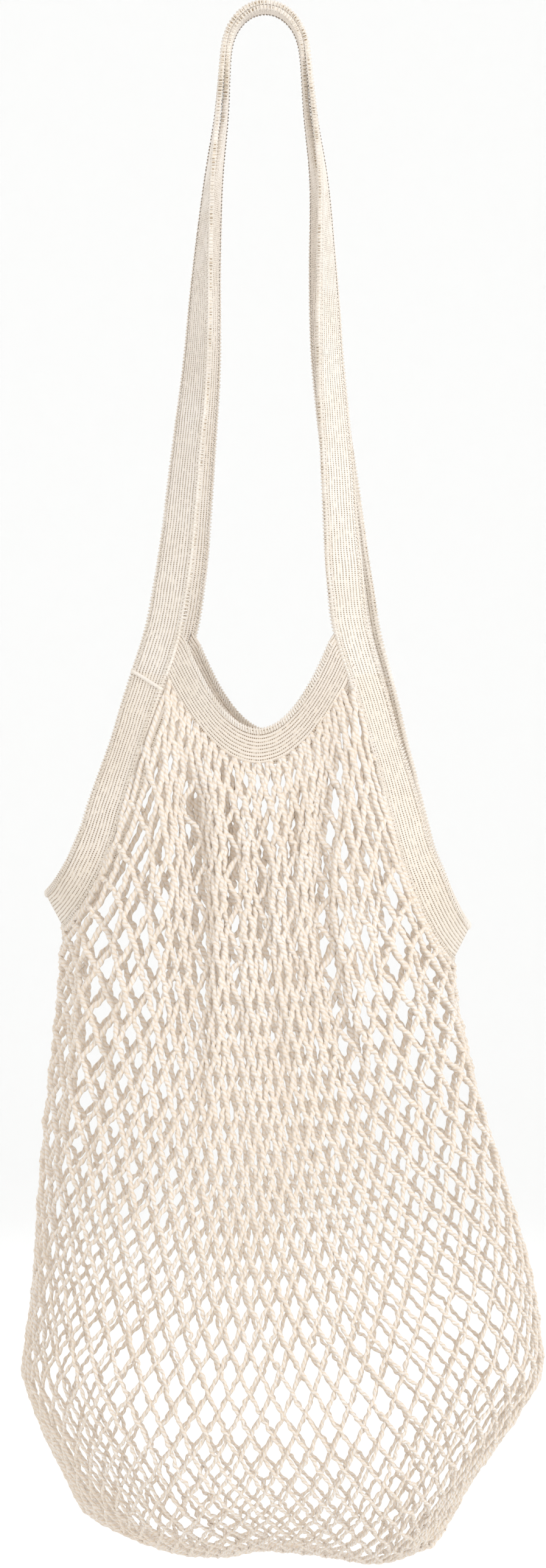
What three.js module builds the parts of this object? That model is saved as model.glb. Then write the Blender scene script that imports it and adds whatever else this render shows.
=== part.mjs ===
// String shopping bag: a net of cotton cord with knitted bands round its mouth and armholes and
// two knitted handles, in the form that it has when it is full and hangs by the handles.
// Millimetres, +Z up. The origin is where the bag hangs, under the top of the inner handle.
// The front faces -Y, and +X is to the right of someone who looks at the front.

import * as THREE from "three";
import { mergeVertices } from "three/addons/utils/BufferGeometryUtils.js";

// Driving sizes of the handles
const handleDrop = 362; // from the hang point down to the shoulders
const handleWidth = 23;
const handleDepth = 67; // between the middles of the two handles at the shoulders
const handleEase = 0.8; // power of the handles' way apart: less than 1 opens them early
const handleLoose = 0.5; // extra clearance between the legs of the two handles, of their pitch
const looseBy = 0.1; // share of the leg over which that clearance grows
const apartFrom = 0.3; // share of the leg where the back handle leaves the front one sideways
const archWidth = 38; // clear width inside the arch that the handles form at the top
const archHeight = 24;

// Driving sizes of the bands
const sideBandWidth = 22;
const neckBandWidth = 18.8; // at the middle of the neck
const bandThickness = 2.3;
const sewnGap = 0.3; // clearance between pieces that are sewn together
const netClear = 2.4 * sewnGap; // from the net's edge to a band that stands on it
const neckClear = 2.5 * sewnGap; // from the neck band's ends to the handles

// Driving sizes of the mouth, at the shoulders and armholes
const shoulderSpread = 98; // between the left and the right shoulder
const shoulderDepth = 76; // between the front and the back shoulder
const mouthOffset = -4; // middle of the mouth from the hang point, along X
const backOffset = 7; // how far the back of the mouth hangs to the right of the front
const neckDip = 47; // sag of the net's edge at the neck, below the shoulders
const neckRise = 21; // height of the neck band's ends above the shoulders
const neckBulge = 6; // how far the middle of the neck stands out before the shoulders
const armholeSpread = 214; // between the lowest points of the two armholes
const armholeDropLeft = 138; // below the shoulders
const armholeDropRight = 156;
const armholeDepth = 92; // widest front to back

// Driving sizes of the net
const netWidth = 282;
const netDepth = 190;
const bellyDrop = 375; // from the shoulders down to the widest level
const bottomDrop = 107; // from the widest level down to the bottom
const undersideEase = 0.85; // power of the underside's depth: less than 1 is fuller
const netWall = 2.3;
const cellsAround = 20; // gaps in one row
const cellRows = 6;
const barWidth = 7; // cords between two gaps
const leastOpening = 0.2; // of a cell, where the cords nearly meet
const gatherDepth = 3;
const pleatDepth = 9;

// Half-sections of the net from the shoulders (at 0) to the widest level (at 1).
// left and right are shares of half the net's width, front and back of half its depth.
const sections = [
  { at: 0.0, left: 0.48, right: 0.41, front: 0.45, back: 0.45 },
  { at: 0.13, left: 0.61, right: 0.54, front: 0.59, back: 0.57 },
  { at: 0.25, left: 0.7, right: 0.64, front: 0.66, back: 0.63 },
  { at: 0.37, left: 0.79, right: 0.73, front: 0.72, back: 0.67 },
  { at: 0.5, left: 0.82, right: 0.81, front: 0.79, back: 0.73 },
  { at: 0.69, left: 0.865, right: 0.915, front: 0.9, back: 0.82 },
  { at: 0.87, left: 0.895, right: 1.03, front: 1.0, back: 0.92 },
  { at: 1.0, left: 0.94, right: 1.075, front: 1.03, back: 0.94 },
];

// Side outline of the net below its widest level, from there (at 0) to the ends of the bottom line.
// left and right are shares of half the net's width, the two drops of bottomDrop.
const underside = [
  { at: 0.0, left: 0.94, leftDrop: 0.0, right: 1.075, rightDrop: 0.0 },
  { at: 0.25, left: 0.87, leftDrop: 0.26, right: 0.967, rightDrop: 0.22 },
  { at: 0.5, left: 0.77, leftDrop: 0.53, right: 0.81, rightDrop: 0.51 },
  { at: 0.75, left: 0.684, leftDrop: 0.718, right: 0.709, rightDrop: 0.77 },
  { at: 1.0, left: 0.424, leftDrop: 0.864, right: 0.637, rightDrop: 0.898 },
];

// The bottom line that closes the net, from its left end (at 0) to its right end, with its two lobes.
const bottomLine = [
  { at: 0.0, drop: 0.864 },
  { at: 0.13, drop: 0.935 },
  { at: 0.25, drop: 0.957 },
  { at: 0.38, drop: 0.91 },
  { at: 0.52, drop: 0.913 },
  { at: 0.65, drop: 0.944 },
  { at: 0.8, drop: 1.0 },
  { at: 0.91, drop: 0.978 },
  { at: 1.0, drop: 0.898 },
];

// Edge of the net round an armhole, from the shoulder (at 0) to its lowest point (at 1).
// out and down are shares of the way to that point, deep of half the armhole's depth.
// flare is how far the band turns out of the net's surface there, as a share of a right angle.
// turn is where the net below that point lies round the bag: 0 at its side, 1 at its middle.
const armholeEdge = [
  { at: 0.0, out: 0.0, down: 0.0, deep: 0.83, flare: 0.0, turn: 0.79 },
  { at: 0.14, out: 0.13, down: 0.16, deep: 0.92, flare: 0.02, turn: 0.745 },
  { at: 0.29, out: 0.26, down: 0.33, deep: 0.98, flare: 0.05, turn: 0.68 },
  { at: 0.43, out: 0.38, down: 0.5, deep: 1.0, flare: 0.1, turn: 0.617 },
  { at: 0.57, out: 0.5, down: 0.66, deep: 0.98, flare: 0.16, turn: 0.53 },
  { at: 0.71, out: 0.66, down: 0.81, deep: 0.84, flare: 0.26, turn: 0.4 },
  { at: 0.86, out: 0.86, down: 0.94, deep: 0.5, flare: 0.4, turn: 0.2 },
  { at: 1.0, out: 1.0, down: 1.0, deep: 0.0, flare: 0.5, turn: 0.0 },
];

// Middle line of the front handle, from the foot of the arch (at 0) to the shoulders (at 1).
// left and right are shares of half the shoulder spread, turn is a share of a right angle:
// the band stands edge-on to the front at 0, and faces it at 1.
const handleLegs = [
  { at: 0.0, left: 0.44, right: 0.44, turn: 0.0 },
  { at: 0.1, left: 0.5, right: 0.53, turn: 0.02 },
  { at: 0.2, left: 0.58, right: 0.63, turn: 0.1 },
  { at: 0.35, left: 0.65, right: 0.69, turn: 0.27 },
  { at: 0.5, left: 0.7, right: 0.74, turn: 0.42 },
  { at: 0.65, left: 0.8, right: 0.83, turn: 0.52 },
  { at: 0.8, left: 0.9, right: 0.91, turn: 0.6 },
  { at: 0.92, left: 1.02, right: 1.0, turn: 0.68 },
];

// Swellings of the full net on its front (side -1) and back (side 1).
// across is a share of half the net's width, down of the whole drop from the shoulders.
const swellings = [
  { side: -1, across: -0.67, down: 0.78, reach: 9, spread: 30 },
  { side: -1, across: -0.25, down: 0.9, reach: 10, spread: 34 },
  { side: -1, across: 0.43, down: 0.9, reach: 11, spread: 36 },
  { side: -1, across: 0.75, down: 0.71, reach: 8, spread: 32 },
  { side: -1, across: 0.12, down: 0.74, reach: 7, spread: 30 },
  { side: -1, across: -0.43, down: 0.6, reach: 6, spread: 30 },
  { side: 1, across: -0.35, down: 0.84, reach: 9, spread: 38 },
  { side: 1, across: 0.4, down: 0.87, reach: 9, spread: 38 },
  { side: 1, across: 0.1, down: 0.66, reach: 6, spread: 34 },
];

// Deep pleats that run down from the neck, at a share of the neck's length from the left shoulder.
const pleats = [
  { at: 0.07, side: -1 },
  { at: 0.9, side: -1 },
  { at: 0.12, side: 1 },
  { at: 0.86, side: 1 },
];

// Net columns: those of one armhole from its lowest point to a shoulder, and those of one neck
const columnsPerCell = 4;
const columns = columnsPerCell * cellsAround;
const armholeShare = 0.1375; // of all columns
const armholeColumns = Math.round(columns * armholeShare);
const neckColumns = columns / 2 - 2 * armholeColumns;
const closedRows = 10; // rows of faces above the gaps
const rowCrowding = 1.3; // power of their spacing: more than 1 crowds them at the edge
const fanInset = 0.35; // middle of a filled half cell, in half cells from its long side
const pleatColumns = 1; // half-width of a deep pleat

// Where along a net column its parts change, as shares of its way from the edge to the bottom line
const bellyAt = 0.62;
const openFrom = 0.42; // gaps below this
const spreadAt = 0.22; // columns have left the armholes here
const evenFrom = 0.7; // columns are evenly spaced round the net below this
const edgeFade = 0.4; // the edge's own form is gone below this
const gatherFrom = 0.02;
const gatherFull = 0.07;
const gatherTo = 0.2;

const cornerRelief = 0.006; // the net stops this share short of the four corners at the shoulders

const squareness = 2.3; // of the net's level sections: 2 is an ellipse
const steps = { arch: 10, leg: 16 };

const { lerp, smoothstep } = THREE.MathUtils;
const vector = (x, y, z) => new THREE.Vector3(x, y, z);
const shoulderLevel = -handleDrop;
const bellyLevel = shoulderLevel - bellyDrop;

// Value of a table's column at a place along the table, on a smooth curve through its rows.
function read(table, name, at) {
  const last = table.length - 1;
  let i = 0;
  while (i < last - 1 && at > table[i + 1].at) i += 1;
  const slope = (k) => {
    const low = table[Math.max(k - 1, 0)];
    const high = table[Math.min(k + 1, last)];
    return (high[name] - low[name]) / (high.at - low.at);
  };
  const [from, to] = [table[i], table[i + 1]];
  const length = to.at - from.at;
  const t = THREE.MathUtils.clamp((at - from.at) / length, 0, 1);
  const hermite = (2 * t - 3) * t * t;
  return (
    from[name] * (1 + hermite) -
    to[name] * hermite +
    slope(i) * length * t * (1 - t) * (1 - t) -
    slope(i + 1) * length * t * t * (1 - t)
  );
}

// A point's place as a key, to a hundredth of a millimetre.
const placeKey = (point) => point.toArray().map((value) => Math.round(value * 100)).join();

// Power that keeps the sign.
const signed = (value, power) => Math.sign(value) * Math.abs(value) ** power;

// A net column of the back mirrors one of the front.
function frontColumn(column) {
  const back = column > columns / 2;
  return { back, front: back ? columns - column : column };
}

// Point of the net's upper edge at a column: 0 is the lowest point of the left armhole,
// and the columns run from there over the front, the right armhole and the back.
function edgePoint(column) {
  const { back, front } = frontColumn(column);
  const side = back ? 1 : -1;
  const onRight = front > columns / 2 - armholeColumns;
  const fromTip = onRight ? columns / 2 - front : front;
  if (fromTip <= armholeColumns) {
    const at = 1 - fromTip / armholeColumns;
    const drop = onRight ? armholeDropRight : armholeDropLeft;
    const half = lerp(shoulderSpread / 2, armholeSpread / 2, read(armholeEdge, "out", at));
    const shift = back ? backOffset * (1 - at) : 0;
    const deep = read(armholeEdge, "deep", at) * (armholeDepth / 2);
    const shoulder = shoulderDepth / 2 - read(armholeEdge, "deep", 0) * (armholeDepth / 2);
    return vector(
      mouthOffset + (onRight ? half : -half) + shift,
      side * (deep + shoulder * (1 - at)),
      shoulderLevel - drop * read(armholeEdge, "down", at),
    );
  }
  const across = (2 * (front - armholeColumns)) / neckColumns - 1;
  const sag = 1 - across * across;
  return vector(
    mouthOffset + (across * shoulderSpread) / 2 + (back ? backOffset : 0),
    side * (shoulderDepth / 2 + neckBulge * sag),
    shoulderLevel - neckDip * sag,
  );
}

// Half-sizes of the net's level section.
function sectionSizes(level) {
  const at = (shoulderLevel - level) / bellyDrop;
  const left = (-read(sections, "left", at) * netWidth) / 2;
  const right = (read(sections, "right", at) * netWidth) / 2;
  return {
    middle: (left + right) / 2,
    half: (right - left) / 2,
    front: (read(sections, "front", at) * netDepth) / 2,
    back: (read(sections, "back", at) * netDepth) / 2,
  };
}

// Point of a level section at a turn from its left end over the front.
function sectionPoint(level, turn) {
  const { middle, half, front, back } = sectionSizes(level);
  const power = 2 / squareness;
  const depth = Math.sin(turn) > 0 ? front : back;
  return vector(
    middle - half * signed(Math.cos(turn), power),
    -depth * signed(Math.sin(turn), power),
    level,
  );
}

// Turn at which the edge point of a column lies in its level section.
function edgeTurn(column) {
  const edge = edgePoint(column);
  const { middle, half, front, back } = sectionSizes(edge.z);
  const depth = edge.y < 0 ? front : back;
  const power = squareness / 2;
  const turn = Math.atan2(signed(-edge.y / depth, power), signed((middle - edge.x) / half, power));
  return turn < -1e-9 || column === columns ? turn + 2 * Math.PI : turn;
}

// Turn at which a column lies once it has left the armhole or the neck.
function spreadTurn(column) {
  const { back, front } = frontColumn(column);
  const fromTip = Math.min(front, columns / 2 - front);
  const shoulder = read(armholeEdge, "turn", 0);
  const share =
    fromTip <= armholeColumns
      ? read(armholeEdge, "turn", 1 - fromTip / armholeColumns)
      : lerp(shoulder, 1, (2 * (fromTip - armholeColumns)) / neckColumns);
  const quarter = front > columns / 4 ? 2 - share : share;
  const turn = (quarter * Math.PI) / 2;
  return back ? 2 * Math.PI - turn : turn;
}

// Point between the widest level (at 0) and the bottom line (at 1).
function undersidePoint(column, at) {
  const { back, front } = frontColumn(column);
  const share = (2 * front) / columns;
  const turn = lerp(Math.PI * share, Math.acos(1 - 2 * share), at);
  const left = (-read(underside, "left", at) * netWidth) / 2;
  const right = (read(underside, "right", at) * netWidth) / 2;
  const power = lerp(2 / squareness, 1, at);
  const across = (1 - signed(Math.cos(turn), power)) / 2;
  const quarter = (at * Math.PI) / 2;
  const { front: frontDepth, back: backDepth } = sectionSizes(bellyLevel);
  const depth = (back ? backDepth : -frontDepth) * Math.cos(quarter) ** undersideEase;
  const endDrop = lerp(read(underside, "leftDrop", at), read(underside, "rightDrop", at), across);
  const middleDrop = read(bottomLine, "drop", across) * Math.sin(quarter);
  const drop = lerp(endDrop, middleDrop, Math.sin(turn));
  return vector(
    lerp(left, right, across),
    depth * Math.sin(turn) ** power,
    bellyLevel - bottomDrop * drop,
  );
}

// How far the full net stands out at a point.
function swelling(point, side) {
  const whole = bellyDrop + bottomDrop;
  return swellings
    .filter((row) => row.side === side)
    .reduce((sum, row) => {
      const dx = point.x - (row.across * netWidth) / 2;
      const dz = point.z - (shoulderLevel - row.down * whole);
      return sum + row.reach * Math.exp(-(dx * dx + dz * dz) / row.spread ** 2);
    }, 0);
}

// How far the drawn-in net is folded in at a column: small gathers all round, and the deep pleats.
function foldDepth(column, down) {
  const strength =
    smoothstep(down, gatherFrom, gatherFull) * (1 - smoothstep(down, gatherTo, openFrom));
  const gather = (gatherDepth * (1 - Math.cos(Math.PI * column))) / 2;
  const { back, front } = frontColumn(column);
  const pleat = pleats
    .filter((row) => row.side === (back ? 1 : -1))
    .reduce((sum, row) => {
      const offset = front - armholeColumns - Math.round(row.at * neckColumns);
      return sum + pleatDepth * Math.exp(-((offset / pleatColumns) ** 2));
    }, 0);
  return strength * (gather + pleat);
}

// Point of the net's outer face, at a column and a share of the way down from the edge.
function netPoint(column, down) {
  const round = ((column % columns) + columns) % columns;
  const side = round > columns / 2 ? 1 : -1;
  if (down > bellyAt) {
    const at = (down - bellyAt) / (1 - bellyAt);
    const point = undersidePoint(round, at);
    const level = Math.abs(point.y) / (netDepth / 2);
    point.y += side * swelling(point, side) * smoothstep(level, 0, 1);
    return point;
  }
  const edge = edgePoint(round);
  const turnThere = edgeTurn(round);
  const evenTurn = (2 * Math.PI * round) / columns;
  const leave = Math.sin((Math.PI / 2) * Math.min(1, down / spreadAt));
  const even = smoothstep(down, spreadAt / 2, evenFrom);
  const turn = lerp(lerp(turnThere, spreadTurn(round), leave), evenTurn, even);
  const point = sectionPoint(lerp(edge.z, bellyLevel, down / bellyAt), turn);
  const level = Math.abs(point.y) / (netDepth / 2);
  const correction = edge.clone().sub(sectionPoint(edge.z, turnThere));
  point.addScaledVector(correction, 1 - smoothstep(down, 0, edgeFade));
  point.y += side * swelling(point, side) * smoothstep(level, 0, 1) * smoothstep(down, 0, edgeFade);
  const inward = vector(sectionSizes(point.z).middle - point.x, -point.y, 0).normalize();
  return point.addScaledVector(inward, foldDepth(round, down));
}

// The net's outer face as triangles: closed rows above, diamond cells with a gap each below.
function netFace() {
  const corners = [];
  const face = (...points) => points.forEach((point) => corners.push(...point.toArray()));
  const fan = (middle, ring) =>
    ring.forEach((point, i) => face(middle, point, ring[(i + 1) % ring.length]));

  const rowAt = (row) => openFrom * (row / closedRows) ** rowCrowding;
  for (let row = 0; row < closedRows; row += 1) {
    for (let column = 0; column < columns; column += 1) {
      const top = (at) => (row === 0 && armholeSide(at) ? cornerRelief : rowAt(row));
      const low = rowAt(row + 1);
      const [a, b] = [netPoint(column, top(column)), netPoint(column + 1, top(column + 1))];
      const [c, d] = [netPoint(column + 1, low), netPoint(column, low)];
      face(a, d, c);
      face(a, c, b);
    }
  }

  // A cell's place: column, and height counted in half cells below the closed rows
  const half = columnsPerCell / 2;
  const halfRows = cellRows + 1;
  const place = (column, height) =>
    netPoint(column, Math.min(1, lerp(openFrom, 1, height / halfRows)));
  for (let row = 0; row < cellRows; row += 1) {
    const stagger = (cellRows - 1 - row) % 2 ? half : 0;
    for (let cell = 0; cell < cellsAround; cell += 1) {
      const [column, height] = [columnsPerCell * cell + stagger, row + 1];
      const tips = [[0, -1], [-half, 0], [0, 1], [half, 0]];
      const centre = place(column, height);
      const points = tips.map(([dx, dy]) => place(column + dx, height + dy));
      const reach = points.map((point) => point.distanceTo(centre));
      const across = (reach[1] + reach[3]) / 2;
      const along = (reach[0] + reach[2]) / 2;
      const toBar = (across * along) / Math.hypot(across, along);
      const open = Math.max(leastOpening, 1 - barWidth / 2 / toBar);
      const gap = tips.map(([dx, dy]) => place(column + dx * open, height + dy * open));
      tips.forEach(([dx, dy], i) => {
        const next = (i + 1) % tips.length;
        const [nx, ny] = tips[next];
        const middle = place(column + (dx + nx) / 2, height + (dy + ny) / 2);
        face(points[i], middle, gap[i]);
        face(middle, gap[next], gap[i]);
        face(middle, points[next], gap[next]);
      });
    }
  }

  // Half cells that fill the zigzag along the closed rows and along the bottom line
  const fillAbove = cellRows % 2 ? half : 0;
  for (let cell = 0; cell < cellsAround; cell += 1) {
    const column = columnsPerCell * cell + fillAbove;
    const ring = [half, half / 2, 0, -half / 2, -half].map((dx) => place(column + dx, 0));
    ring.push(place(column - half / 2, 0.5), place(column, 1), place(column + half / 2, 0.5));
    fan(place(column, fanInset), ring);
    const below = columnsPerCell * cell + half;
    const bottomRing = [-half, 0, half].map((dx) => place(below + dx, halfRows));
    bottomRing.push(place(below + half / 2, cellRows + 0.5), place(below, cellRows));
    bottomRing.push(place(below - half / 2, cellRows + 0.5));
    fan(place(below, halfRows - fanInset), bottomRing);
  }
  const soup = new THREE.BufferGeometry();
  soup.setAttribute("position", new THREE.Float32BufferAttribute(corners, 3));
  return mergeVertices(soup, 1e-2);
}

// A face thickened inwards: outer face, inner face, and a wall along every open edge.
// fixedNormals gives the way out of the face at points where it is known better than from the faces.
function thicken(outer, thickness, fixedNormals) {
  outer.computeVertexNormals();
  const { position, normal } = outer.attributes;
  const count = position.count;
  const points = [...position.array];
  for (let i = 0; i < count; i += 1) {
    const point = vector().fromBufferAttribute(position, i);
    const direction =
      fixedNormals.get(placeKey(point)) ?? vector().fromBufferAttribute(normal, i);
    points.push(...point.addScaledVector(direction, -thickness).toArray());
  }
  const triangles = [];
  const edges = new Map();
  const faces = outer.index.array;
  for (let i = 0; i < faces.length; i += 3) {
    const [a, b, c] = [faces[i], faces[i + 1], faces[i + 2]];
    triangles.push(a, b, c, c + count, b + count, a + count);
    for (const [from, to] of [[a, b], [b, c], [c, a]]) edges.set(`${from}>${to}`, [from, to]);
  }
  for (const [from, to] of edges.values()) {
    if (edges.has(`${to}>${from}`)) continue;
    triangles.push(to, from, from + count, to, from + count, to + count);
  }
  const solid = new THREE.BufferGeometry();
  solid.setAttribute("position", new THREE.Float32BufferAttribute(points, 3));
  solid.setIndex(triangles);
  return solid;
}

// The net's edge turns a corner at each shoulder: where the armhole lies from a shoulder's column.
function armholeSide(column) {
  if (column % (columns / 2) === armholeColumns) return -1;
  return column % (columns / 2) === columns / 2 - armholeColumns ? 1 : 0;
}

// Frame of the net's edge at a column: its point, the way along it, out of the net's face,
// and away from the net in the face. side takes the way along from one side of a corner alone.
function edgeFrame(column, side = 0) {
  const step = 0.01;
  const point = edgePoint(column);
  const before = edgePoint((column - (side > 0 ? 0 : step) + columns) % columns);
  const after = edgePoint((column + (side < 0 ? 0 : step)) % columns);
  const along = after.sub(before).normalize();
  const down = netPoint(column, step).sub(point);
  const normal = down.cross(along).normalize();
  const away = along.clone().cross(normal).normalize().negate();
  return { point, along, normal, away };
}

// A station of a band: the middle of its thickness at its inner and outer edge, and its normal.
const station = (inner, outer, normal) => ({ inner, outer, normal });

// Side band station at a net column. Its inner edge runs along the net's edge.
function sideBandStation(column) {
  const { point, along, normal, away } = edgeFrame(column, armholeSide(column));
  const { front } = frontColumn(column);
  const at = 1 - Math.min(front, columns / 2 - front) / armholeColumns;
  const flare = (read(armholeEdge, "flare", at) * Math.PI) / 2;
  const across = away.clone().applyAxisAngle(along, flare);
  if (across.dot(normal) < 0) across.copy(away).applyAxisAngle(along, -flare);
  const out = vector().crossVectors(along, across).normalize();
  if (out.dot(normal) < 0) out.negate();
  const clear = netClear + (bandThickness / 2) * Math.sin(flare);
  const inner = point.clone().addScaledVector(normal, -netWall / 2).addScaledVector(away, clear);
  return station(inner, inner.clone().addScaledVector(across, sideBandWidth), out);
}

// Neck band station at a net column. Its ends lie along the handles' inner edges.
function neckBandStation(column) {
  const { front, back } = frontColumn(column);
  const side = back ? 1 : -1;
  const across = (2 * (front - armholeColumns)) / neckColumns - 1;
  const leg = across < 0 ? -1 : 1;
  const beside = handleStation(1 - neckRise / handleDrop, leg, side);
  const corner = beside.inner.clone();
  corner.x -= leg * neckClear;
  if (armholeSide(column)) {
    const low = sideBandStation(column).inner.clone();
    low.x -= leg * neckClear;
    return station(low, corner, beside.normal);
  }
  const sag = 1 - across * across;
  const { point, normal } = edgeFrame(column);
  const middleTop = shoulderLevel - neckDip + neckBandWidth;
  const shift = mouthOffset + (back ? backOffset : 0);
  const top = vector(
    shift + across * Math.abs(corner.x - shift),
    lerp(corner.y, side * (shoulderDepth / 2 + neckBulge / 2), sag),
    lerp(corner.z, middleTop, sag),
  );
  const low = point.clone().addScaledVector(normal, -netWall / 2);
  low.z += netClear;
  return station(low, top, normal);
}

// Handle station on a leg: share of the way from the hang point to the shoulders, leg (-1 left,
// 1 right) and handle (-1 front, 1 back).
function handleStation(share, leg, handle) {
  const at = Math.max(0, (share * handleDrop - archHeight) / (handleDrop - archHeight));
  const loose = 1 + handleLoose * smoothstep(at, 0, looseBy);
  const layer = handle < 0 ? 0 : (bandThickness + sewnGap) * loose;
  const name = leg < 0 ? "left" : "right";
  const foot = archWidth / 2 + 1.5 * bandThickness + sewnGap;
  const reach = read(handleLegs, name, Math.min(at, handleLegs.at(-1).at));
  const start = handleLegs[0][name] * (shoulderSpread / 2);
  const apart = smoothstep(at, apartFrom, 1);
  const half = reach * (shoulderSpread / 2) + (foot - start) * (1 - at) - layer * (1 - apart);
  const turn = (read(handleLegs, "turn", at) * Math.PI) / 2;
  const slack = handle < 0 ? 0 : backOffset * apart;
  const centre = vector(
    leg * half + slack + mouthOffset * at,
    handle * (handleDepth / 2) * at ** handleEase,
    -share * handleDrop,
  );
  const across = vector(-leg * Math.sin(turn), handle * Math.cos(turn), 0);
  const inner = centre.clone().addScaledVector(across, handleWidth / 2);
  const outer = centre.clone().addScaledVector(across, -handleWidth / 2);
  return station(inner, outer, vector(leg * Math.cos(turn), handle * Math.sin(turn), 0));
}

// Handle station over the arch, at a turn from its left foot.
function archStation(turn, handle) {
  const layer = handle < 0 ? bandThickness + sewnGap : 0;
  const grow = layer + bandThickness / 2;
  const out = vector(-Math.cos(turn), 0, Math.sin(turn));
  const centre = vector(
    out.x * (archWidth / 2 + grow),
    0,
    -archHeight + out.z * (archHeight + grow),
  );
  const across = vector(0, (handle * handleWidth) / 2, 0);
  return station(centre.clone().add(across), centre.clone().sub(across), out);
}

// A band through its stations, as one closed solid.
function bandSolid(stations, thickness) {
  const points = [];
  const triangles = [];
  for (const { inner, outer, normal } of stations) {
    for (const [edge, side] of [[inner, 1], [outer, 1], [outer, -1], [inner, -1]])
      points.push(...edge.clone().addScaledVector(normal, (side * thickness) / 2).toArray());
  }
  const quad = (a, b, c, d) => triangles.push(a, b, c, a, c, d);
  const last = 4 * (stations.length - 1);
  for (let base = 0; base < last; base += 4) {
    for (let rail = 0; rail < 4; rail += 1) {
      const next = (rail + 1) % 4;
      quad(base + rail, base + next, base + 4 + next, base + 4 + rail);
    }
  }
  quad(3, 2, 1, 0);
  quad(last, last + 1, last + 2, last + 3);
  const solid = new THREE.BufferGeometry();
  solid.setAttribute("position", new THREE.Float32BufferAttribute(points, 3));
  solid.setIndex(triangles);
  return facingOut(solid);
}

// A closed solid whose faces point out, whichever way round it was made.
function facingOut(solid) {
  const { position } = solid.attributes;
  const faces = solid.index.array;
  const corner = (i) => vector().fromBufferAttribute(position, faces[i]);
  let volume = 0;
  for (let i = 0; i < faces.length; i += 3)
    volume += corner(i).dot(corner(i + 1).cross(corner(i + 2)));
  if (volume < 0) solid.setIndex([...faces].reverse());
  return solid;
}

// Whole numbers from one to another, both taken.
const range = (from, to) => Array.from({ length: to - from + 1 }, (_, i) => from + i);

// Station moved a little along its band, so that two bands that meet keep their gap.
function moved({ inner, outer, normal }, towards, distance) {
  const way = outer.clone().sub(inner).cross(normal).normalize();
  if (towards.inner.clone().add(towards.outer).sub(inner).sub(outer).dot(way) < 0) way.negate();
  return station(
    inner.clone().addScaledVector(way, distance),
    outer.clone().addScaledVector(way, distance),
    normal,
  );
}

function sideBand(tip) {
  const list = range(-armholeColumns, armholeColumns).map((offset) =>
    sideBandStation((tip + offset + columns) % columns),
  );
  list[0] = moved(list[0], list[1], sewnGap / 2);
  list[list.length - 1] = moved(list.at(-1), list.at(-2), sewnGap / 2);
  return bandSolid(list, bandThickness);
}

function neckBand(from) {
  const list = range(0, neckColumns).map((offset) => neckBandStation(from + offset));
  return bandSolid(list, bandThickness);
}

function handle(which) {
  const shoulderShare = 1 - neckRise / handleDrop;
  const footShare = archHeight / handleDrop;
  const leg = (side) =>
    range(0, steps.leg).map((i) =>
      handleStation(lerp(footShare, shoulderShare, i / steps.leg), side, which),
    );
  const arch = range(1, steps.arch - 1).map((i) =>
    archStation((Math.PI * i) / steps.arch, which),
  );
  const shoulders = which < 0
    ? [armholeColumns, columns / 2 - armholeColumns]
    : [columns - armholeColumns, columns / 2 + armholeColumns];
  const [left, right] = shoulders.map((column) => sideBandStation(column));
  const leftLeg = leg(-1).reverse();
  const rightLeg = leg(1);
  const list = [
    moved(left, leftLeg[0], sewnGap / 2),
    ...leftLeg,
    ...arch,
    ...rightLeg,
    moved(right, rightLeg.at(-1), sewnGap / 2),
  ];
  return bandSolid(list, bandThickness);
}

const cotton = { roughness: 0.9, metalness: 0 };
const finishes = {
  cord: new THREE.MeshStandardMaterial({ color: 0xf0e3cf, ...cotton }),
  neck: new THREE.MeshStandardMaterial({ color: 0xf2e6d4, ...cotton }),
  side: new THREE.MeshStandardMaterial({ color: 0xf3e8d8, ...cotton }),
  handle: new THREE.MeshStandardMaterial({ color: 0xf5ebdd, ...cotton }),
};

const bag = new THREE.Group();
function add(name, geometry, finish) {
  const mesh = new THREE.Mesh(geometry, finishes[finish].clone());
  mesh.name = name;
  bag.add(mesh);
}

const edgeNormals = new Map(
  range(0, columns - 1).map((column) => {
    const { point, normal } = edgeFrame(column);
    return [placeKey(point), normal];
  }),
);
add("net_body", facingOut(thicken(netFace(), netWall, edgeNormals)), "cord");
add("neck_band_front", neckBand(armholeColumns), "neck");
add("neck_band_back", neckBand(columns / 2 + armholeColumns), "neck");
add("side_band_left", sideBand(0), "side");
add("side_band_right", sideBand(columns / 2), "side");
add("handle_front", handle(-1), "handle");
add("handle_back", handle(1), "handle");

export default bag;
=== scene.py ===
"""String shopping bag of undyed cotton: a net of chain-knitted cord with knitted bands round its mouth
and armholes and two knitted handles, hung up and in the form that it has when it is full.
Sizes are in millimetres until a mesh is made; the front faces -Y."""

import math

import bpy
import numpy as np
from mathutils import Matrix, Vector
from mathutils.bvhtree import BVHTree


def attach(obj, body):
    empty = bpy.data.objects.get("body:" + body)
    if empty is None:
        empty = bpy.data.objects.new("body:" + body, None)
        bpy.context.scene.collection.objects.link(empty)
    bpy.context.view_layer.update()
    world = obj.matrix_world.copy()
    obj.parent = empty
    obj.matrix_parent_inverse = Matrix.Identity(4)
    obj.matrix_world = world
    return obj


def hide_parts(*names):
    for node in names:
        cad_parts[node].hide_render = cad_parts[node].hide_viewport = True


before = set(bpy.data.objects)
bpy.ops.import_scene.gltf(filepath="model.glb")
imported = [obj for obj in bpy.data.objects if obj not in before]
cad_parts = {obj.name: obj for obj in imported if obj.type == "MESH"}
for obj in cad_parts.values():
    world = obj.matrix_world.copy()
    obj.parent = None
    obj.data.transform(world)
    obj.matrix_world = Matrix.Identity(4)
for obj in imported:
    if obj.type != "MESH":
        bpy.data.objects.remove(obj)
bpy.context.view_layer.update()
METRES = 0.001
TURN = 2 * math.pi
chance = np.random.default_rng(7)

# Sizes, the same as those of the solids

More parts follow.
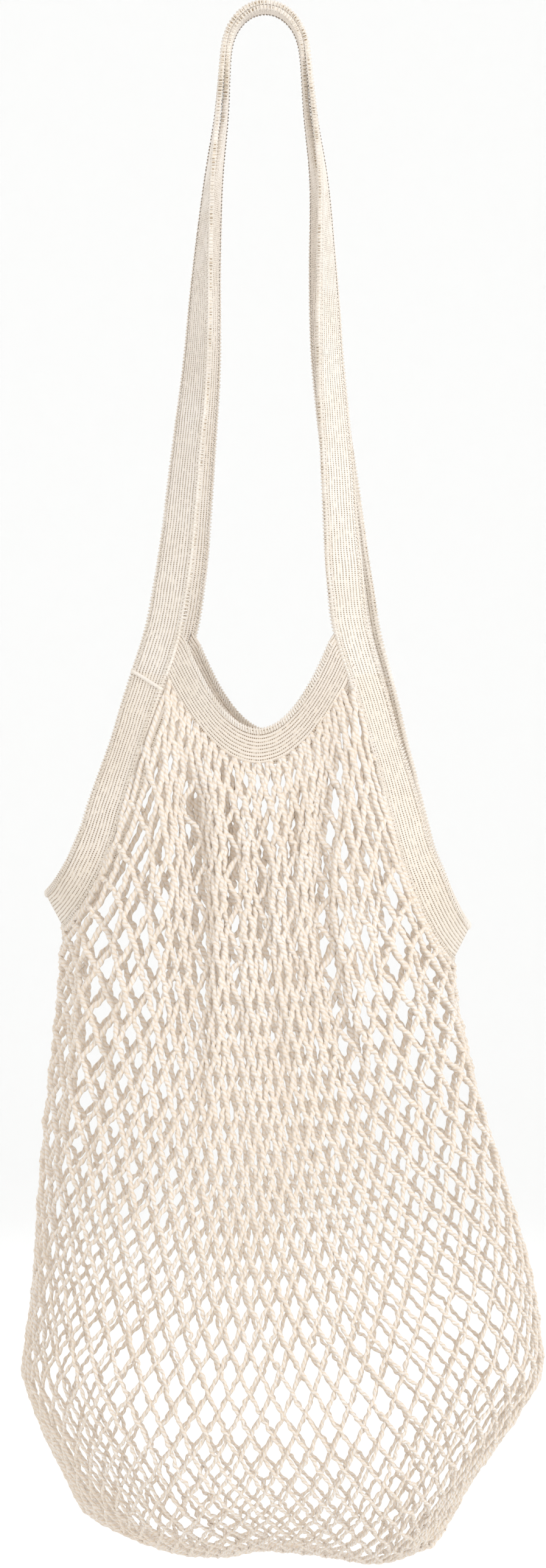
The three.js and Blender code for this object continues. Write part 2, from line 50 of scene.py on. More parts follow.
HANDLE_DROP = 362.0
HANDLE_WIDTH = 23.0
HANDLE_DEPTH = 67.0
HANDLE_EASE = 0.8
HANDLE_LOOSE = 0.5
LOOSE_BY = 0.1
TIP_LEAN = 0.7
APART_FROM = 0.3
ARCH_WIDTH = 38.0
ARCH_HEIGHT = 24.0
SIDE_BAND_WIDTH = 22.0
NECK_BAND_WIDTH = 18.8
BAND_THICKNESS = 2.3
SEWN_GAP = 0.3
NET_CLEAR = 2.4 * SEWN_GAP
SHOULDER_SPREAD = 98.0
SHOULDER_DEPTH = 76.0
MOUTH_OFFSET = -4.0
BACK_OFFSET = 7.0
NECK_DIP = 47.0
NECK_RISE = 21.0
NECK_BULGE = 6.0
ARMHOLE_SPREAD = 214.0
ARMHOLE_DROP_LEFT = 138.0
ARMHOLE_DROP_RIGHT = 156.0
ARMHOLE_DEPTH = 92.0
NET_WIDTH = 282.0
NET_DEPTH = 190.0
BELLY_DROP = 375.0
BOTTOM_DROP = 107.0
UNDERSIDE_EASE = 0.85
NET_WALL = 2.3
COLUMNS = 80
ARMHOLE_COLUMNS = 11
NECK_COLUMNS = 18
BELLY_AT = 0.62
SPREAD_AT = 0.22
EVEN_FROM = 0.7
EDGE_FADE = 0.4
SQUARENESS = 2.3
SHOULDER_LEVEL = -HANDLE_DROP
BELLY_LEVEL = SHOULDER_LEVEL - BELLY_DROP


class Table:
    """Smooth curves through a table's rows. The first column is the place along the table."""

    def __init__(self, names, *rows):
        rows = np.array(rows, float)
        self.at = rows[:, 0]
        self.columns = dict(zip(names.split(), rows[:, 1:].T))

    def read(self, name, at):
        x, y = self.at, self.columns[name]
        at = np.asarray(at, float)
        count = len(x)
        i = np.clip(np.searchsorted(x, at, side="left") - 1, 0, count - 2)
        low = np.maximum(np.arange(count) - 1, 0)
        high = np.minimum(np.arange(count) + 1, count - 1)
        slope = (y[high] - y[low]) / (x[high] - x[low])
        length = x[i + 1] - x[i]
        t = np.clip((at - x[i]) / length, 0, 1)
        hermite = (2 * t - 3) * t * t
        start = slope[i] * length * t * (1 - t) ** 2
        end = slope[i + 1] * length * t * t * (1 - t)
        return y[i] * (1 + hermite) - y[i + 1] * hermite + start - end


# The net from the shoulders down to the belly: its reach to each side, as shares of its half width and depth
SECTIONS = Table(
    "left right front back",
    (0.0, 0.48, 0.41, 0.45, 0.45),
    (0.13, 0.61, 0.54, 0.59, 0.57),
    (0.25, 0.7, 0.64, 0.66, 0.63),
    (0.37, 0.79, 0.73, 0.72, 0.67),
    (0.5, 0.82, 0.81, 0.79, 0.73),
    (0.69, 0.865, 0.915, 0.9, 0.82),
    (0.87, 0.895, 1.03, 1.0, 0.92),
    (1.0, 0.94, 1.075, 1.03, 0.94),
)
# From the belly to the seam underneath: reach of the sides, and their share of the drop to the bottom
UNDERSIDE = Table(
    "left left_drop right right_drop",
    (0.0, 0.94, 0.0, 1.075, 0.0),
    (0.25, 0.87, 0.26, 0.967, 0.22),
    (0.5, 0.77, 0.53, 0.81, 0.51),
    (0.75, 0.684, 0.718, 0.709, 0.77),
    (1.0, 0.424, 0.864, 0.637, 0.898),
)
# The seam underneath, from left to right
BOTTOM_LINE = Table(
    "drop",
    (0.0, 0.864),
    (0.13, 0.935),
    (0.25, 0.957),
    (0.38, 0.91),
    (0.52, 0.913),
    (0.65, 0.944),
    (0.8, 1.0),
    (0.91, 0.978),
    (1.0, 0.898),
)
# The net's edge from a shoulder to the armhole's lowest point: shares of its way out and down and of its
# half depth, and as shares of a quarter turn the band's lean and the place of the cords below it
ARMHOLE_EDGE = Table(
    "out down deep flare turn",
    (0.0, 0.0, 0.0, 0.83, 0.0, 0.79),
    (0.14, 0.13, 0.16, 0.92, 0.02, 0.745),
    (0.29, 0.26, 0.33, 0.98, 0.05, 0.68),
    (0.43, 0.38, 0.5, 1.0, 0.1, 0.617),
    (0.57, 0.5, 0.66, 0.98, 0.16, 0.53),
    (0.71, 0.66, 0.81, 0.84, 0.26, 0.4),
    (0.86, 0.86, 0.94, 0.5, 0.4, 0.2),
    (1.0, 1.0, 1.0, 0.0, 0.5, 0.0),
)
# Handle legs from the arch to a shoulder: shares of half the shoulders' spread, and of a quarter turn
HANDLE_LEGS = Table(
    "left right turn",
    (0.0, 0.44, 0.44, 0.0),
    (0.1, 0.5, 0.53, 0.02),
    (0.2, 0.58, 0.63, 0.1),
    (0.35, 0.65, 0.69, 0.27),
    (0.5, 0.7, 0.74, 0.42),
    (0.65, 0.8, 0.83, 0.52),
    (0.8, 0.9, 0.91, 0.6),
    (0.92, 1.02, 1.0, 0.68),
)
# Swellings of the full net: side (-1 is the front), across, down, reach, spread
SWELLINGS = (
    (-1, -0.67, 0.78, 9, 30),
    (-1, -0.25, 0.9, 10, 34),
    (-1, 0.43, 0.9, 11, 36),
    (-1, 0.75, 0.71, 8, 32),
    (-1, 0.12, 0.74, 7, 30),
    (-1, -0.43, 0.6, 6, 30),
    (1, -0.35, 0.84, 9, 38),
    (1, 0.4, 0.87, 9, 38),
    (1, 0.1, 0.66, 6, 34),
)

# Form of the net


def lerp(a, b, t):
    return a + (b - a) * t


def smoothstep(x, low, high):
    t = np.clip((np.asarray(x, float) - low) / (high - low), 0, 1)
    return t * t * (3 - 2 * t)


def signed(value, power):
    return np.sign(value) * np.abs(value) ** power


def unit(v):
    return v / np.maximum(np.linalg.norm(v, axis=-1, keepdims=True), 1e-12)


def front_column(column):
    back = column > COLUMNS / 2
    return back, np.where(back, COLUMNS - column, column)


def edge_point(column):
    """Point of the net's upper edge: column 0 is the lowest point of the left armhole, then the front."""
    back, front = front_column(column)
    side = np.where(back, 1.0, -1.0)
    on_right = front > COLUMNS / 2 - ARMHOLE_COLUMNS
    from_tip = np.where(on_right, COLUMNS / 2 - front, front)
    at = 1 - np.minimum(from_tip, ARMHOLE_COLUMNS) / ARMHOLE_COLUMNS
    drop = np.where(on_right, ARMHOLE_DROP_RIGHT, ARMHOLE_DROP_LEFT)
    half = lerp(SHOULDER_SPREAD / 2, ARMHOLE_SPREAD / 2, ARMHOLE_EDGE.read("out", at))
    deep = ARMHOLE_EDGE.read("deep", at) * ARMHOLE_DEPTH / 2
    rest = SHOULDER_DEPTH / 2 - ARMHOLE_EDGE.read("deep", 0.0) * ARMHOLE_DEPTH / 2
    armhole = np.stack([
        MOUTH_OFFSET + np.where(on_right, half, -half) + np.where(back, BACK_OFFSET * (1 - at), 0),
        side * (deep + rest * (1 - at)),
        SHOULDER_LEVEL - drop * ARMHOLE_EDGE.read("down", at),
    ], -1)
    across = 2 * (front - ARMHOLE_COLUMNS) / NECK_COLUMNS - 1
    sag = 1 - across**2
    neck = np.stack([
        MOUTH_OFFSET + across * SHOULDER_SPREAD / 2 + np.where(back, BACK_OFFSET, 0),
        side * (SHOULDER_DEPTH / 2 + NECK_BULGE * sag),
        SHOULDER_LEVEL - NECK_DIP * sag,
    ], -1)
    return np.where((from_tip <= ARMHOLE_COLUMNS)[..., None], armhole, neck)


def section_sizes(level):
    at = (SHOULDER_LEVEL - level) / BELLY_DROP
    left = -SECTIONS.read("left", at) * NET_WIDTH / 2
    right = SECTIONS.read("right", at) * NET_WIDTH / 2
    front = SECTIONS.read("front", at) * NET_DEPTH / 2
    back = SECTIONS.read("back", at) * NET_DEPTH / 2
    return (left + right) / 2, (right - left) / 2, front, back


def section_point(level, turn):
    middle, half, front, back = section_sizes(level)
    depth = np.where(np.sin(turn) > 0, front, back)
    power = 2 / SQUARENESS
    x = middle - half * signed(np.cos(turn), power)
    return np.stack([x, -depth * signed(np.sin(turn), power), level + 0 * x], -1)


def edge_turn(column):
    edge = edge_point(column)
    middle, half, front, back = section_sizes(edge[..., 2])
    depth = np.where(edge[..., 1] < 0, front, back)
    power = SQUARENESS / 2
    turn = np.arctan2(
        signed(-edge[..., 1] / depth, power), signed((middle - edge[..., 0]) / half, power)
    )
    return np.where(turn < -1e-9, turn + TURN, turn)


def spread_turn(column):
    back, front = front_column(column)
    from_tip = np.minimum(front, COLUMNS / 2 - front)
    armhole = ARMHOLE_EDGE.read("turn", 1 - np.minimum(from_tip, ARMHOLE_COLUMNS) / ARMHOLE_COLUMNS)
    shoulder = ARMHOLE_EDGE.read("turn", 0.0)
    neck = lerp(shoulder, 1, 2 * (from_tip - ARMHOLE_COLUMNS) / NECK_COLUMNS)
    share = np.where(from_tip <= ARMHOLE_COLUMNS, armhole, neck)
    turn = np.where(front > COLUMNS / 4, 2 - share, share) * math.pi / 2
    return np.where(back, TURN - turn, turn)


def swelling(point, side):
    whole = BELLY_DROP + BOTTOM_DROP
    total = np.zeros(point.shape[:-1])
    for row_side, across, down, reach, spread in SWELLINGS:
        dx = point[..., 0] - across * NET_WIDTH / 2
        dz = point[..., 2] - (SHOULDER_LEVEL - down * whole)
        total += (side == row_side) * reach * np.exp(-(dx * dx + dz * dz) / spread**2)
    return total


def underside_point(column, at):
    back, front = front_column(column)
    share = 2 * front / COLUMNS
    turn = lerp(math.pi * share, np.arccos(np.clip(1 - 2 * share, -1, 1)), at)
    left = -UNDERSIDE.read("left", at) * NET_WIDTH / 2
    right = UNDERSIDE.read("right", at) * NET_WIDTH / 2
    power = lerp(2 / SQUARENESS, 1, at)
    across = (1 - signed(np.cos(turn), power)) / 2
    quarter = at * math.pi / 2
    _, _, front_depth, back_depth = section_sizes(np.array(BELLY_LEVEL))
    depth = np.where(back, back_depth, -front_depth) * np.abs(np.cos(quarter)) ** UNDERSIDE_EASE
    end_drop = lerp(UNDERSIDE.read("left_drop", at), UNDERSIDE.read("right_drop", at), across)
    middle_drop = BOTTOM_LINE.read("drop", across) * np.sin(quarter)
    drop = lerp(end_drop, middle_drop, np.sin(turn))
    y = depth * np.abs(np.sin(turn)) ** power
    return np.stack([lerp(left, right, across), y, BELLY_LEVEL - BOTTOM_DROP * drop], -1)


def net_point(column, down):
    """Point of the net's smooth outer face, at a column and a share of the way down from the edge."""
    column, down = np.broadcast_arrays(np.asarray(column, float) % COLUMNS, np.asarray(down, float))
    side = np.where(column > COLUMNS / 2, 1, -1)
    low = underside_point(column, np.clip((down - BELLY_AT) / (1 - BELLY_AT), 0, 1))
    low[..., 1] += side * swelling(low, side) * smoothstep(np.abs(low[..., 1]) / (NET_DEPTH / 2), 0, 1)
    edge, there = edge_point(column), edge_turn(column)
    leave = np.sin(math.pi / 2 * np.minimum(1, down / SPREAD_AT))
    even = smoothstep(down, SPREAD_AT / 2, EVEN_FROM)
    turn = lerp(lerp(there, spread_turn(column), leave), TURN * column / COLUMNS, even)
    level = lerp(edge[..., 2], BELLY_LEVEL, np.minimum(down / BELLY_AT, 1))
    high = section_point(level, turn)
    correction = edge - section_point(edge[..., 2], there)
    high = high + correction * (1 - smoothstep(down, 0, EDGE_FADE))[..., None]
    fade = smoothstep(np.abs(high[..., 1]) / (NET_DEPTH / 2), 0, 1) * smoothstep(down, 0, EDGE_FADE)
    high[..., 1] += side * swelling(high, side) * fade
    return np.where((down > BELLY_AT)[..., None], low, high)


# Stations of the bands
# A station is the middle of a band's thickness at its inner and outer edge, and its outward normal.


def turned(v, axis, angle):
    angle = np.asarray(angle)[..., None]
    along = (v * axis).sum(-1, keepdims=True) * axis
    return along + (v - along) * np.cos(angle) + np.cross(axis, v) * np.sin(angle)


def edge_frame(column, low, high):
    """Point, way along, normal and way out of the net along its edge, for columns between two corners."""
    step = 0.01
    point = edge_point(column % COLUMNS)
    before = edge_point(np.maximum(column - step, low) % COLUMNS)
    after = edge_point(np.minimum(column + step, high) % COLUMNS)
    along = unit(after - before)
    normal = unit(np.cross(net_point(column, step) - point, along))
    return point, along, normal, -unit(np.cross(along, normal))


def side_band_stations(tip, count):
    low, high = tip - ARMHOLE_COLUMNS, tip + ARMHOLE_COLUMNS
    column = np.linspace(low, high, count)
    point, along, normal, away = edge_frame(column, low, high)
    at = 1 - np.abs(column - tip) / ARMHOLE_COLUMNS
    flare = ARMHOLE_EDGE.read("flare", at) * math.pi / 2
    across = turned(away, along, flare)
    wrong = (across * normal).sum(-1) < 0
    across[wrong] = turned(away, along, -flare)[wrong]
    across[:, 1] *= 1 - TIP_LEAN * smoothstep(at, 0.4, 0.75)
    across = unit(across)
    out = unit(np.cross(along, across))
    out *= np.sign((out * normal).sum(-1, keepdims=True))
    clear = NET_CLEAR + BAND_THICKNESS / 2 * np.sin(flare)
    inner = point - normal * NET_WALL / 2 + away * clear[:, None]
    return np.stack([inner, inner + across * SIDE_BAND_WIDTH, out], 1)


def handle_stations(share, leg, handle):
    at = np.maximum(0, (share * HANDLE_DROP - ARCH_HEIGHT) / (HANDLE_DROP - ARCH_HEIGHT))
    loose = 1 + HANDLE_LOOSE * smoothstep(at, 0, LOOSE_BY)
    layer = 0 if handle < 0 else (BAND_THICKNESS + SEWN_GAP) * loose
    name = "left" if leg < 0 else "right"
    foot = ARCH_WIDTH / 2 + 1.5 * BAND_THICKNESS + SEWN_GAP
    start = HANDLE_LEGS.columns[name][0] * SHOULDER_SPREAD / 2
    apart = smoothstep(at, APART_FROM, 1)
    reach = HANDLE_LEGS.read(name, at) * SHOULDER_SPREAD / 2
    half = reach + (foot - start) * (1 - at) - layer * (1 - apart)
    turn = HANDLE_LEGS.read("turn", at) * math.pi / 2
    x = leg * half + (0 if handle < 0 else BACK_OFFSET) * apart + MOUTH_OFFSET * at
    centre = np.stack([x, handle * HANDLE_DEPTH / 2 * at**HANDLE_EASE, -share * HANDLE_DROP], -1)
    zero = 0 * at
    across = np.stack([-leg * np.sin(turn), handle * np.cos(turn), zero], -1) * HANDLE_WIDTH / 2
    normal = np.stack([leg * np.cos(turn), handle * np.sin(turn), zero], -1)
    return np.stack([centre + across, centre - across, normal], 1)


def arch_stations(turn, handle):
    grow = (BAND_THICKNESS + SEWN_GAP if handle < 0 else 0) + BAND_THICKNESS / 2
    out = np.stack([-np.cos(turn), 0 * turn, np.sin(turn)], -1)
    centre = out * [ARCH_WIDTH / 2 + grow, 0, ARCH_HEIGHT + grow] - [0, 0, ARCH_HEIGHT]
    across = np.array([0, handle * HANDLE_WIDTH / 2, 0])
    return np.stack([centre + across, centre - across, out], 1)


def neck_band_stations(from_column, count):
    low, high = from_column, from_column + NECK_COLUMNS
    column = np.linspace(low, high, count)
    back, front = front_column(column)
    side = 1.0 if back[count // 2] else -1.0
    across = 2 * (front - ARMHOLE_COLUMNS) / NECK_COLUMNS - 1
    leg = np.where(across < 0, -1.0, 1.0)
    share = np.array([1 - NECK_RISE / HANDLE_DROP])
    beside = {k: handle_stations(share, k, int(side))[0] for k in (-1, 1)}
    corner = np.array([beside[int(k)][0] for k in leg])
    sag = 1 - across**2
    point, _, normal, _ = edge_frame(column, low, high)
    shift = MOUTH_OFFSET + (BACK_OFFSET if side > 0 else 0)
    top = np.stack([
        shift + across * np.abs(corner[:, 0] - shift),
        lerp(corner[:, 1], side * (SHOULDER_DEPTH / 2 + NECK_BULGE / 2), sag),
        lerp(corner[:, 2], SHOULDER_LEVEL - NECK_DIP + NECK_BAND_WIDTH, sag),
    ], -1)
    bottom = point - normal * NET_WALL / 2
    bottom[:, 2] += NET_CLEAR
    return np.stack([bottom, top, normal], 1)


def middles(stations):
    return (stations[:, 0] + stations[:, 1]) / 2


def lengths(points):
    return np.concatenate([[0], np.cumsum(np.linalg.norm(np.diff(points, axis=0), axis=1))])


def at_places(values, along, places):
    """Values at places along a line, from those at the places in along."""
    return np.stack([np.interp(places, along, column) for column in values.T], -1)


def resampled(stations, step):
    """The same stations at even steps along the band."""
    along = lengths(middles(stations))
    count = max(2, round(along[-1] / step)) + 1
    even = at_places(stations.reshape(len(stations), -1), along, np.linspace(0, along[-1], count))
    return even.reshape(count, 3, 3)


def softened(stations, spread, closed, only=None):
    """Stations smoothed along the band over a spread of so many of them."""
    reach = int(3 * spread)
    weights = np.exp(-0.5 * (np.arange(-reach, reach + 1) / spread) ** 2)
    weights /= weights.sum()
    if closed:
        before, after = stations[-reach:], stations[:reach]
    else:
        before, after = stations[:1].repeat(reach, 0), stations[-1:].repeat(reach, 0)
    padded = np.concatenate([before, stations, after])
    smooth = sum(w * padded[k : k + len(stations)] for k, w in enumerate(weights))
    if only is not None:
        smooth = lerp(stations, smooth, only[:, None, None])
    smooth[:, 2] = unit(smooth[:, 2])
    return smooth


def knitted_strip(step):
    """The one knitted strip of handles and side bands as a closed loop, and where its four parts begin."""
    foot, shoulder = ARCH_HEIGHT / HANDLE_DROP, 1 - NECK_RISE / HANDLE_DROP
    down = np.linspace(foot, shoulder, 120)
    arch = np.linspace(0, math.pi, 60)[1:-1]

    def handle(which, start, end):
        left = handle_stations(down, -1, which)[::-1]
        right = handle_stations(down, 1, which)
        parts = [left, arch_stations(arch, which), right]
        if which > 0:
            parts = [p[::-1] for p in parts[::-1]]
        return np.concatenate([start, *parts, end])

    right = side_band_stations(COLUMNS / 2, 160)
    left = side_band_stations(0, 160)
    front = handle(-1, left[-1:], right[:1])
    back = handle(1, right[-1:], left[:1])
    parts = [resampled(p, step) for p in (front, right, back, left)]
    starts = np.cumsum([0] + [len(p) - 1 for p in parts])
    loop = np.concatenate([p[:-1] for p in parts])
    count = len(loop)
    near = np.zeros(count)
    for start in starts[:4]:
        away = np.abs((np.arange(count) - start + count / 2) % count - count / 2) * step
        near = np.maximum(near, 1 - smoothstep(away, 15, 45))
    loop = softened(loop, 5 / step, True)
    for _ in range(3):
        loop = softened(loop, 9 / step, True, near)

    # The side bands' lowest points are rounded once more, the edge that is sewn to the net apart
    tips = np.zeros(count)
    for start, end in ((starts[1], starts[2]), (starts[3], starts[4])):
        away = np.abs(np.arange(count) - (start + end) / 2) * step
        tips = np.maximum(tips, 1 - smoothstep(away, 6, 34))
    rounded = loop.copy()
    for _ in range(2):
        rounded = softened(rounded, 8 / step, True, tips)
    loop[:, 1:] = rounded[:, 1:]
    return loop, starts


# Meshes


def make_mesh(name, points, quads, uv, material, replaced=()):
    """A piece from points in millimetres, quads of point numbers, and a uv place for each quad's corner."""
    mesh = bpy.data.meshes.new(name)
    mesh.vertices.add(len(points))
    mesh.vertices.foreach_set("co", (points * METRES).astype(np.float32).ravel())
    mesh.loops.add(quads.size)
    mesh.loops.foreach_set("vertex_index", quads.astype(np.int32).ravel())
    mesh.polygons.add(len(quads))
    mesh.polygons.foreach_set("loop_start", np.arange(0, quads.size, quads.shape[1], dtype=np.int32))
    mesh.polygons.foreach_set("use_smooth", np.ones(len(quads), dtype=bool))
    mesh.update(calc_edges=True)
    layer = mesh.uv_layers.new(name="UVMap")
    layer.data.foreach_set("uv", uv.astype(np.float32).ravel())
    mesh.materials.append(material)
    piece = bpy.data.objects.new(name, mesh)
    bpy.context.collection.objects.link(piece)
    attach(piece, "root")
    if replaced:
        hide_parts(*replaced)
    return piece


def rings_joined(index):
    """Quads between rings of point numbers; the last axis goes round a ring, the one before it along."""
    a, b = index[..., :-1, :], index[..., 1:, :]
    return np.stack([a, np.roll(a, -1, -1), np.roll(b, -1, -1), b], -1).reshape(-1, 4)


def tube_piece(name, rings, v, material, replaced=()):
    """A piece of open tubes, from rings (lines, rings, sides, 3) and each ring's place v along its tube."""
    lines, count, sides = rings.shape[:3]
    index = np.arange(lines * count * sides).reshape(lines, count, sides)
    u = np.arange(sides + 1) / sides
    shape = (lines, count - 1, sides)
    v0, v1 = v[:, :-1, None], v[:, 1:, None]
    corners = [(u[:-1], v0), (u[1:], v0), (u[1:], v1), (u[:-1], v1)]
    uv = np.stack([
        np.stack([np.broadcast_to(cu, shape), np.broadcast_to(cv, shape)], -1) for cu, cv in corners
    ], -2).reshape(-1, 2)
    return make_mesh(name, rings.reshape(-1, 3), rings_joined(index), uv, material, replaced)


def sweep(paths, normals, radius, sides, lobes=0.0, pitch=1.0, phase=None, flat=1.0):
    """Rings of tubes along paths (lines, rings, 3), and each ring's place along its path.
    Two lobes twist round a tube once in a pitch, as in a plied cord."""
    tangent = unit(np.gradient(paths, axis=1))
    side = unit(np.cross(tangent, normals))
    up = unit(np.cross(side, tangent))
    along = np.concatenate([
        np.zeros((len(paths), 1)), np.cumsum(np.linalg.norm(np.diff(paths, axis=1), axis=2), axis=1)
    ], 1)
    angle = np.arange(sides) * TURN / sides
    twist = TURN * along / pitch + (0 if phase is None else phase[:, None])
    bulge = 1 + lobes * np.cos(2 * angle[None, None] - twist[..., None])
    r = (np.asarray(radius)[..., None] * bulge)[..., None]
    ring = paths[:, :, None] + r * (
        np.cos(angle)[:, None] * up[:, :, None] * flat + np.sin(angle)[:, None] * side[:, :, None]
    )
    return ring, along


# Materials


class Nodes:
    """Short way to build a material's nodes."""

    def __init__(self, name):
        self.material = bpy.data.materials.new(name)
        self.material.use_nodes = True
        self.tree = self.material.node_tree
        self.shader = self.tree.nodes["Principled BSDF"]

    def add(self, kind, inputs=None, **settings):
        node = self.tree.nodes.new("ShaderNode" + kind)
        for key, value in settings.items():
            setattr(node, key, value)
        for key, value in (inputs or {}).items():
            self.feed(node.inputs[key], value)
        return node

    def feed(self, socket, value):
        if isinstance(value, bpy.types.NodeSocket):
            self.tree.links.new(value, socket)
        else:
            socket.default_value = value

    def math(self, operation, *values):
        node = self.add("Math", operation=operation)
        for socket, value in zip(node.inputs, values):
            self.feed(socket, value)
        return node.outputs[0]

    def mix(self, share, first, second):
        node = self.add("Mix", data_type="RGBA")
        for socket, value in zip((node.inputs[0], node.inputs[6], node.inputs[7]), (share, first, second)):
            self.feed(socket, value)
        return node.outputs[2]

    def noise(self, scale, detail=2.0):
        place = self.add("TexCoord").outputs["Object"]
        return self.add("TexNoise", {"Vector": place, "Scale": scale, "Detail": detail}).outputs["Fac"]

    def ramp(self, value, low, high):
        return self.add("MapRange", {"Value": value, "From Min": low, "From Max": high}).outputs["Result"]

    def finish(self, colour, height, distance):
        bump = self.add("Bump", {"Height": height, "Distance": distance, "Strength": 0.9})
        self.feed(self.shader.inputs["Base Color"], colour)
        self.feed(self.shader.inputs["Normal"], bump.outputs["Normal"])
        self.shader.inputs["Roughness"].default_value = 0.92
        self.shader.inputs["Sheen Weight"].default_value = 0.25
        self.shader.inputs["Sheen Roughness"].default_value = 0.6
        self.shader.inputs["Specular IOR Level"].default_value = 0.2
        return self.material


def colour(red, green, blue):
    return (red, green, blue, 1.0)


def darker(base, shares):
    return colour(*(c * share for c, share in zip(base, shares)))


BUMP = 0.0004
# Shares of a colour's red, green and blue that are left in the grooves of the cord and of the knitting, as
# painted shade
CORD_GROOVE_SHADE = (0.94, 0.94 * 0.93, 0.94 * 0.82)
KNIT_GROOVE_SHADE = (0.92, 0.88, 0.8)


def cord_material(name, light, deep):
    """Chain-knitted cord: u runs once round the cord, v counts stitches along it."""
    n = Nodes(name)
    u, v = n.add("SeparateXYZ", {"Vector": n.add("TexCoord").outputs["UV"]}).outputs[:2]
    slant = n.math("ADD", n.math("MULTIPLY", v, TURN), n.math("MULTIPLY", u, 2 * TURN))
    leg = n.math("SINE", slant)
    ply = n.math("SINE", n.math("ADD", n.math("MULTIPLY", slant, 3.0), n.math("MULTIPLY", u, 4 * TURN)))
    fluff = n.noise(1600.0, 3.0)
    body = n.mix(n.ramp(n.noise(38.0), 0.35, 0.7), colour(*deep), colour(*light))
    # Painted shade: the colour darkens in the grooves between the cord's stitch legs
    shade = n.mix(n.ramp(leg, -1.0, -0.1), darker(deep, CORD_GROOVE_SHADE), body)
    height = n.math("ADD", n.math("MULTIPLY", leg, 0.5), n.math("MULTIPLY", ply, 0.14))
    height = n.math("ADD", height, n.math("MULTIPLY", fluff, 0.5))
    return n.finish(shade, height, BUMP)


def knit_material(name, light, deep, hole_shade):
    """Knitted band: u counts wales across it and v courses along it; small holes lie between the wales."""
    n = Nodes(name)
    u, v = n.add("SeparateXYZ", {"Vector": n.add("TexCoord").outputs["UV"]}).outputs[:2]
    wander = n.math("MULTIPLY", n.math("SUBTRACT", n.noise(90.0, 1.0), 0.5), 0.5)
    wale = n.math("MULTIPLY", n.math("ADD", u, wander), TURN)
    course = n.math("MULTIPLY", v, TURN)
    rib = n.math("COSINE", wale)
    between = n.math("POWER", n.math("MAXIMUM", n.math("MULTIPLY", rib, -1.0), 0.0), 2.0)
    beat = n.math("MULTIPLY_ADD", n.math("COSINE", course), 0.5, 0.5)
    dot = n.math("MULTIPLY", between, n.math("POWER", beat, 1.2))
    dot = n.math("MULTIPLY", dot, n.ramp(n.noise(420.0, 1.0), 0.24, 0.55))
    chevron = n.math("ABSOLUTE", n.math("SINE", n.math("MULTIPLY", wale, 0.5)))
    loops = n.math("SINE", n.math("ADD", course, n.math("MULTIPLY", chevron, 3.4)))
    fluff = n.noise(1500.0, 3.0)
    body = n.mix(n.ramp(n.noise(24.0), 0.3, 0.7), colour(*deep), colour(*light))
    # Painted shade: the colour darkens in the grooves between the wales
    groove_shaded = n.mix(n.ramp(between, 0.0, 1.0), body, darker(deep, KNIT_GROOVE_SHADE))
    # Painted shade: the knit's holes are not cut, and a dark colour stands in for the shade inside them
    shade = n.mix(n.ramp(dot, 0.16, 0.6), groove_shaded, colour(*hole_shade))
    height = n.math("ADD", n.math("MULTIPLY", rib, 0.5), n.math("MULTIPLY", loops, 0.22))
    height = n.math("SUBTRACT", height, n.math("MULTIPLY", dot, 1.2))
    height = n.math("ADD", height, n.math("MULTIPLY", fluff, 0.35))
    return n.finish(shade, height, BUMP)


def thread_material(name, light, deep):
    n = Nodes(name)
    fluff = n.noise(1900.0, 3.0)
    body = n.mix(n.ramp(n.noise(60.0), 0.35, 0.68), colour(*deep), colour(*light))
    return n.finish(body, fluff, 0.00025)


# A light and a deeper colour that each material varies between; a knitted one also has the painted shade of
# its holes
net_cotton = cord_material("net_cotton", (0.915, 0.848, 0.787), (0.875, 0.778, 0.683))
side_cotton = knit_material("side_cotton", (0.925, 0.842, 0.755), (0.885, 0.787, 0.68), (0.33, 0.21, 0.12))
handle_cotton = knit_material("handle_cotton", (0.935, 0.863, 0.792), (0.9, 0.813, 0.722), (0.36, 0.25, 0.15))
neck_cotton = knit_material("neck_cotton", (0.895, 0.806, 0.718), (0.845, 0.746, 0.645), (0.3, 0.19, 0.11))
edge_thread = thread_material("edge_thread", (0.88, 0.815, 0.745), (0.8, 0.715, 0.61))

# Net: a lattice drawn over its form

# Cells round the net and at each neck band, and rows from the edge to the seam underneath
CELLS = 56
NECK_CELLS = 20
HALF_ROWS = 40
# Cord from knot to knot; its radius, which is larger in the gathered net, and the rows where that changes
SEGMENT = 12.0
CORD_RADIUS = 1.0
DRAWN_RADIUS = 1.55
THINNING = (8, 27)
# Least distances of knots side by side, also where the net is drawn shut, and one above the other
LEAST_PITCH = 6.6
DRAWN_PITCH = 4.8
LEAST_HEIGHT = 9.0
DRAWN_ROWS = 26
# The relaxation: rounds, how far a knot sinks in the first and in the last, its drift to the middle, how
# firmly a short cord pushes, how far the seam's knots even out, and rounds from one fitting to the next
ROUNDS = 900
SINK = 0.2
LAST_SINK = 0.08
DRIFT = 0.3
DRIFT_TO = -2.0
DRIFT_REACH = 70.0
PUSH = 0.8
SEAM_EVENING = 0.3
EVENING_ROUNDS = 24
FITTED_EACH = 4
# Ripples of the gathered net, where they and its folds begin and end on the way down, and the deep folds
# below the neck's corners: column, depth, spread in columns
RIPPLE = 2.6
RIPPLE_COLUMNS = 3.2
RIPPLE_SWAY = 0.5
FOLDS_BEGIN = (0.015, 0.08)
FOLDS_END = (0.16, 0.5)
FOLDS = ((13.2, 11.0, 1.7), (27.0, 11.0, 1.7), (53.6, 8.0, 1.5), (66.8, 8.0, 1.5))
# How far cords move out and in where they cross, and how far their ends reach on under the bands and inwards
CROSSING = 0.42
TUCKED_UNDER = 2.6
TUCKED_IN = 0.4
# Rings of a cord to a segment, and points of a ring; small moves of the cords, over so many rings
STEPS = 14
SIDES = 6
SIDEWAYS = (0.42, 3)
OUTWARDS = (0.22, 6)
# Turn of a cord's two lobes, their height as a share of its radius, and its stitches' length
TWIST = 6.0
LOBES = 0.2
STITCH = 3.0
SEAM_RADIUS = 1.9
SEAM_LOBES = 0.14


